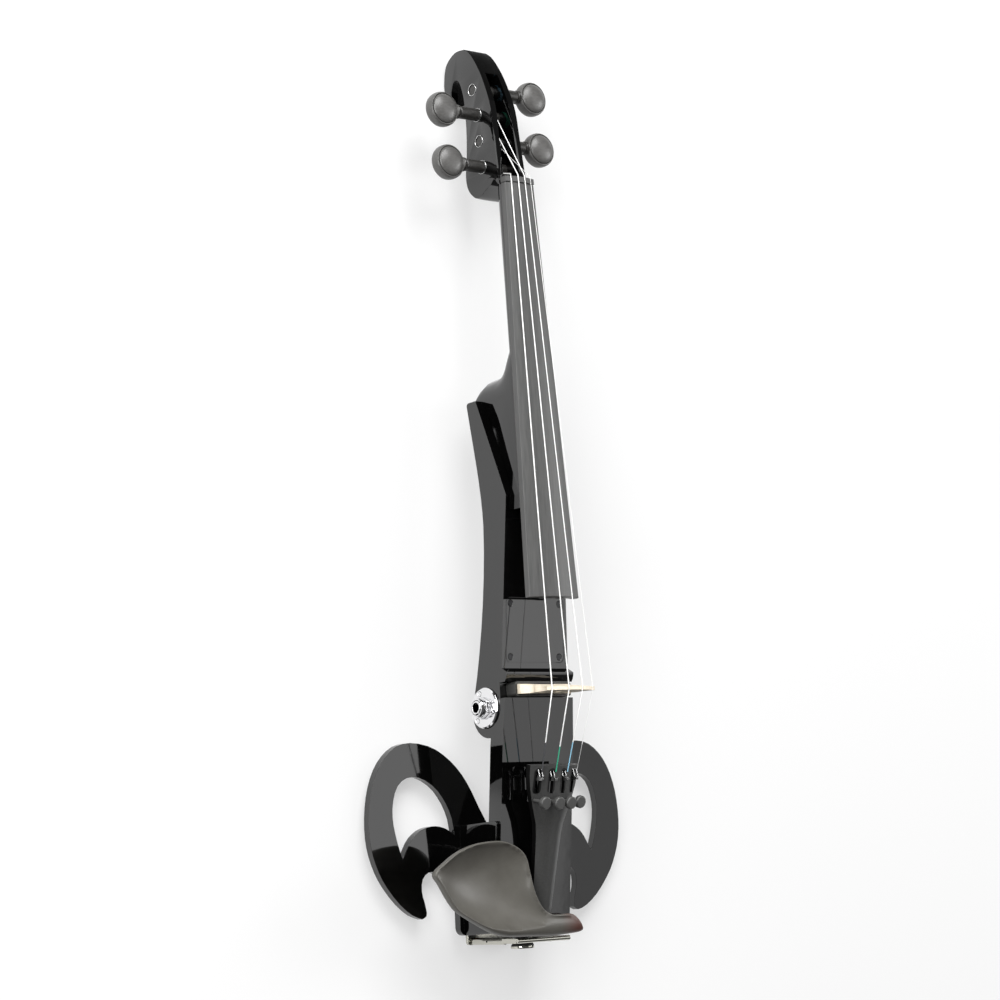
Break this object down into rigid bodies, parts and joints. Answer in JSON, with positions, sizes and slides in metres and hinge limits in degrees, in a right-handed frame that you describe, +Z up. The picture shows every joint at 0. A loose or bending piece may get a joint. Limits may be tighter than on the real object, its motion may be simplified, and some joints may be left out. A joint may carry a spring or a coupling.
{
  "type": "electric violin",
  "caption": "Solid-body electric violin with a slim beam body, cut-out wings, tuning pegs, fine tuners, chin rest, clamp and output jack.",
  "frame": {"origin": "centre of the bounding box at the ground the instrument lies on", "axes": "+Y along the strings towards the head, +Z up out of the fingerboard side, +X towards the treble side; the instrument lies on its back"},
  "size_m": [0.2086, 0.5854, 0.0916],
  "materials": {
    "lacquer": "gloss black lacquer",
    "ebony": "satin black",
    "moulded": "satin charcoal",
    "maple": "bare",
    "chrome": "polished",
    "steel": "bright",
    "black_steel": "satin black",
    "cork": "raw cork",
    "silk": "wound thread",
    "fibre": "satin",
    "circuit": "satin"
  },
  "bodies": {
    "instrument": {"fingerboard": "ebony", "neck": "lacquer", "front_cover": "lacquer", "cover_screw_1": "black_steel", "cover_screw_2": "black_steel", "cover_screw_3": "black_steel", "cover_screw_4": "black_steel", "preamp_board": "circuit", "coin_cell": "steel", "jack_plate": "chrome", "jack_screw_1": "chrome", "jack_screw_2": "chrome", "jack_screw_3": "chrome", "jack_socket": "chrome", "jack_nut": "chrome", "jack_ring": "chrome", "body": "lacquer", "end_block": "lacquer", "end_button": "ebony", "tailpiece": "ebony", "tuner_axle": "steel", "string_g": "steel", "string_d": "steel", "string_a": "steel", "string_e": "steel", "nut": "ebony", "pickup_base": "moulded", "bridge": "maple", "saddle": "ebony", "tailgut": "fibre", "chinrest": "moulded", "chinrest_cork_bass": "cork", "chinrest_cork_treble": "cork", "wing_plate": "lacquer", "wing_screw_1": "black_steel", "wing_screw_2": "black_steel", "wing_screw_3": "black_steel", "wing_screw_4": "black_steel", "clamp_upper_bracket": "chrome"},
    "peg_g": {"peg_g": "ebony", "winding_g": "silk"},
    "tuner_screw_g": {"tuner_screw_g": "black_steel"},
    "tuner_lever_g": {"tuner_lever_g": "steel"},
    "peg_d": {"peg_d": "ebony", "winding_d": "silk"},
    "tuner_screw_d": {"tuner_screw_d": "black_steel"},
    "tuner_lever_d": {"tuner_lever_d": "steel"},
    "peg_a": {"peg_a": "ebony", "winding_a": "silk"},
    "tuner_screw_a": {"tuner_screw_a": "black_steel"},
    "tuner_lever_a": {"tuner_lever_a": "steel"},
    "peg_e": {"peg_e": "ebony", "winding_e": "silk"},
    "tuner_screw_e": {"tuner_screw_e": "black_steel"},
    "tuner_lever_e": {"tuner_lever_e": "steel"},
    "clamp_barrel_bass": {"clamp_barrel_bass": "chrome"},
    "clamp_barrel_treble": {"clamp_barrel_treble": "chrome"},
    "clamp_foot": {"clamp_lower_bracket": "chrome", "clamp_cork": "cork"}
  },
  "joints": [
    {"name": "peg_g_turn", "type": "hinge", "parent": "instrument", "child": "peg_g", "pos_m": [0, 0.21004, 0.03672], "axis": [-1, 0, 0], "continuous": true},
    {"name": "peg_d_turn", "type": "hinge", "parent": "instrument", "child": "peg_d", "pos_m": [0, 0.24558, 0.03293], "axis": [-1, 0, 0], "continuous": true},
    {"name": "peg_a_turn", "type": "hinge", "parent": "instrument", "child": "peg_a", "pos_m": [0, 0.26339, 0.02893], "axis": [1, 0, 0], "continuous": true},
    {"name": "peg_e_turn", "type": "hinge", "parent": "instrument", "child": "peg_e", "pos_m": [0, 0.22765, 0.03463], "axis": [1, 0, 0], "continuous": true},
    {"name": "tuner_screw_g_turn", "type": "hinge", "parent": "instrument", "child": "tuner_screw_g", "pos_m": [-0.0144, -0.1999, 0.06301], "axis": [0, 0.2018, -0.9794], "range_deg": [0, 1440]},
    {"name": "tuner_lever_g_tilt", "type": "hinge", "parent": "instrument", "child": "tuner_lever_g", "pos_m": [-0.0144, -0.18708, 0.06473], "axis": [1, 0, 0], "range_deg": [0, 8.9]},
    {"name": "tuner_screw_d_turn", "type": "hinge", "parent": "instrument", "child": "tuner_screw_d", "pos_m": [-0.0048, -0.1999, 0.06301], "axis": [0, 0.2018, -0.9794], "range_deg": [0, 1440]},
    {"name": "tuner_lever_d_tilt", "type": "hinge", "parent": "instrument", "child": "tuner_lever_d", "pos_m": [-0.0048, -0.18708, 0.06473], "axis": [1, 0, 0], "range_deg": [0, 8.9]},
    {"name": "tuner_screw_a_turn", "type": "hinge", "parent": "instrument", "child": "tuner_screw_a", "pos_m": [0.0048, -0.1999, 0.06301], "axis": [0, 0.2018, -0.9794], "range_deg": [0, 1440]},
    {"name": "tuner_lever_a_tilt", "type": "hinge", "parent": "instrument", "child": "tuner_lever_a", "pos_m": [0.0048, -0.18708, 0.06473], "axis": [1, 0, 0], "range_deg": [0, 8.9]},
    {"name": "tuner_screw_e_turn", "type": "hinge", "parent": "instrument", "child": "tuner_screw_e", "pos_m": [0.0144, -0.1999, 0.06301], "axis": [0, 0.2018, -0.9794], "range_deg": [0, 1440]},
    {"name": "tuner_lever_e_tilt", "type": "hinge", "parent": "instrument", "child": "tuner_lever_e", "pos_m": [0.0144, -0.18708, 0.06473], "axis": [1, 0, 0], "range_deg": [0, 8.9]},
    {"name": "clamp_barrel_bass_turn", "type": "hinge", "parent": "instrument", "child": "clamp_barrel_bass", "pos_m": [-0.019, -0.28688, 0.06175], "axis": [0, 0, 1], "range_deg": [0, 1441]},
    {"name": "clamp_barrel_treble_turn", "type": "hinge", "parent": "instrument", "child": "clamp_barrel_treble", "pos_m": [0.019, -0.28688, 0.06175], "axis": [0, 0, 1], "range_deg": [0, 1441]},
    {"name": "clamp_travel", "type": "slide", "parent": "instrument", "child": "clamp_foot", "axis": [0, 0, -1], "range_m": [0, 0.004]}
  ],
  "couplings": [
    {"joint": "tuner_lever_g_tilt", "follows": "tuner_screw_g_turn", "ratio": 0.006146},
    {"joint": "tuner_lever_d_tilt", "follows": "tuner_screw_d_turn", "ratio": 0.006146},
    {"joint": "tuner_lever_a_tilt", "follows": "tuner_screw_a_turn", "ratio": 0.006146},
    {"joint": "tuner_lever_e_tilt", "follows": "tuner_screw_e_turn", "ratio": 0.006146},
    {"joint": "clamp_barrel_bass_turn", "follows": "clamp_travel", "rad_per_m": 6283.2},
    {"joint": "clamp_barrel_treble_turn", "follows": "clamp_travel", "rad_per_m": 6283.2}
  ]
}
